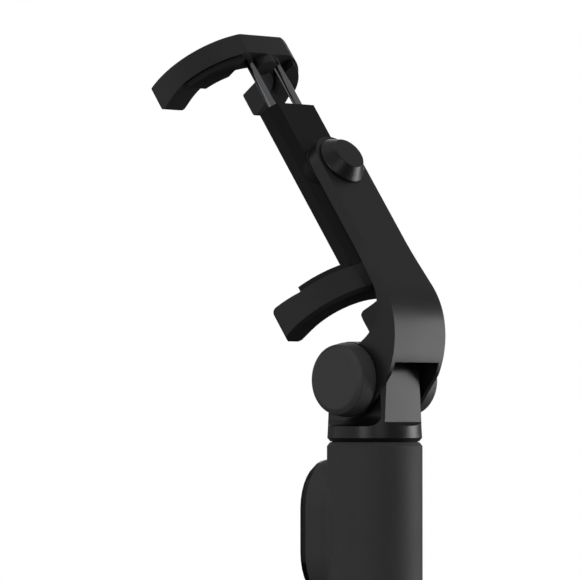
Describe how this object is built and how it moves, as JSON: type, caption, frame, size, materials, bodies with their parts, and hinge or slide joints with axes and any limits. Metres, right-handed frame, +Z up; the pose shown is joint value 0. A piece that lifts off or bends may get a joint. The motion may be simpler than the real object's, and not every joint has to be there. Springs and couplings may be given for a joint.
{
  "type": "selfie stick",
  "caption": "Pocket selfie stick: telescopic pole in a grip that opens into a tripod, tilting C-shaped arm, swivelling spring clamp for a phone and a round-button remote docked in the grip.",
  "frame": {"origin": "centre of the closed tripod's feet, on the surface the stick stands on", "axes": "+Z up the pole; the tilt hinge lies along X; the remote faces -Y"},
  "size_m": [0.0454, 0.0818, 0.2769],
  "materials": {
    "grip_plastic": "fine matte soft-touch",
    "head_plastic": "satin fine grain",
    "rubber": "matte",
    "aluminium": "drawn satin",
    "chrome": "polished",
    "steel": "zinc plated",
    "bearing_plastic": "acetal",
    "gloss_black": "polished",
    "circuit_board": "solder mask"
  },
  "bodies": {
    "handle": {"grip_housing": "grip_plastic", "top_collar": "grip_plastic", "outer_tube": "aluminium", "outer_tube_plug": "grip_plastic", "tripod_hub": "grip_plastic", "hub_screws": "steel", "leg_hinge_pins": "steel"},
    "leg_1": {"leg_shell_1": "grip_plastic", "leg_foot_1": "rubber"},
    "leg_2": {"leg_shell_2": "grip_plastic", "leg_foot_2": "rubber"},
    "leg_3": {"leg_shell_3": "grip_plastic", "leg_foot_3": "rubber"},
    "stage_1": {"stage_1_tube": "aluminium", "stage_1_bush": "bearing_plastic", "stage_1_collar": "grip_plastic"},
    "stage_2": {"stage_2_tube": "aluminium", "stage_2_bush": "bearing_plastic", "stage_2_collar": "grip_plastic"},
    "stage_3": {"stage_3_tube": "aluminium", "stage_3_bush": "bearing_plastic", "head_post": "aluminium"},
    "head": {"thrust_washer": "rubber", "head_base": "head_plastic", "head_grub_screw": "steel"},
    "arm": {"tilt_arm": "head_plastic", "tilt_bolt": "steel", "tilt_nut": "steel", "knob_left": "head_plastic", "knob_right": "head_plastic", "friction_washers": "bearing_plastic", "spring_washers": "steel", "swivel_cap": "head_plastic", "swivel_screw": "steel", "swivel_nut": "steel", "swivel_spring_washer": "steel"},
    "clamp": {"clamp_body": "head_plastic", "clamp_cover": "head_plastic", "cover_screws": "steel", "back_pad": "rubber", "swivel_disc": "rubber", "lower_jaw": "head_plastic", "lower_jaw_pads": "rubber", "lower_jaw_screws": "steel", "rod_bushes": "bearing_plastic", "jaw_springs": "steel"},
    "jaw": {"upper_jaw": "head_plastic", "upper_jaw_pads": "rubber", "guide_rods": "chrome", "rod_stops": "steel", "rod_screws": "steel"},
    "remote": {"remote_shell": "grip_plastic", "remote_face": "gloss_black", "remote_board": "circuit_board", "remote_battery": "steel", "remote_switch": "steel", "remote_port": "steel"},
    "button": {"remote_button": "grip_plastic"}
  },
  "joints": [
    {"name": "leg_1_open", "type": "hinge", "parent": "handle", "child": "leg_1", "pos_m": [0, 0.0106, 0.0985], "axis": [1, 0, 0], "range_deg": [0, 45]},
    {"name": "leg_2_open", "type": "hinge", "parent": "handle", "child": "leg_2", "pos_m": [-0.00918, -0.0053, 0.0985], "axis": [-0.5, 0.866, 0], "range_deg": [0, 45]},
    {"name": "leg_3_open", "type": "hinge", "parent": "handle", "child": "leg_3", "pos_m": [0.00918, -0.0053, 0.0985], "axis": [-0.5, -0.866, 0], "range_deg": [0, 45]},
    {"name": "stage_1_slide", "type": "slide", "parent": "handle", "child": "stage_1", "axis": [0, 0, 1], "range_m": [0, 0.105]},
    {"name": "stage_2_slide", "type": "slide", "parent": "stage_1", "child": "stage_2", "axis": [0, 0, 1], "range_m": [0, 0.105]},
    {"name": "stage_3_slide", "type": "slide", "parent": "stage_2", "child": "stage_3", "axis": [0, 0, 1], "range_m": [0, 0.105]},
    {"name": "head_turn", "type": "hinge", "parent": "stage_3", "child": "head", "pos_m": [0, 0, 0.165], "axis": [0, 0, 1], "continuous": true},
    {"name": "tilt", "type": "hinge", "parent": "head", "child": "arm", "pos_m": [0, 0, 0.18], "axis": [1, 0, 0], "range_deg": [-60.66, 124]},
    {"name": "clamp_swivel", "type": "hinge", "parent": "arm", "child": "clamp", "pos_m": [0, -0.0182, 0.23624], "axis": [0, 0.8125, 0.583], "range_deg": [-90, 90]},
    {"name": "jaw_slide", "type": "slide", "parent": "clamp", "child": "jaw", "axis": [0, -0.583, 0.8125], "range_m": [-0.0132, 0.0198], "stiffness_N_per_m": 60, "springref_m": -0.03, "deforming": ["jaw_springs"]},
    {"name": "remote_release", "type": "slide", "parent": "handle", "child": "remote", "axis": [0, -1, 0], "range_m": [0, 0.025]},
    {"name": "button_press", "type": "slide", "parent": "remote", "child": "button", "axis": [0, 1, 0], "range_m": [0, 0.0006], "stiffness_N_per_m": 800}
  ]
}
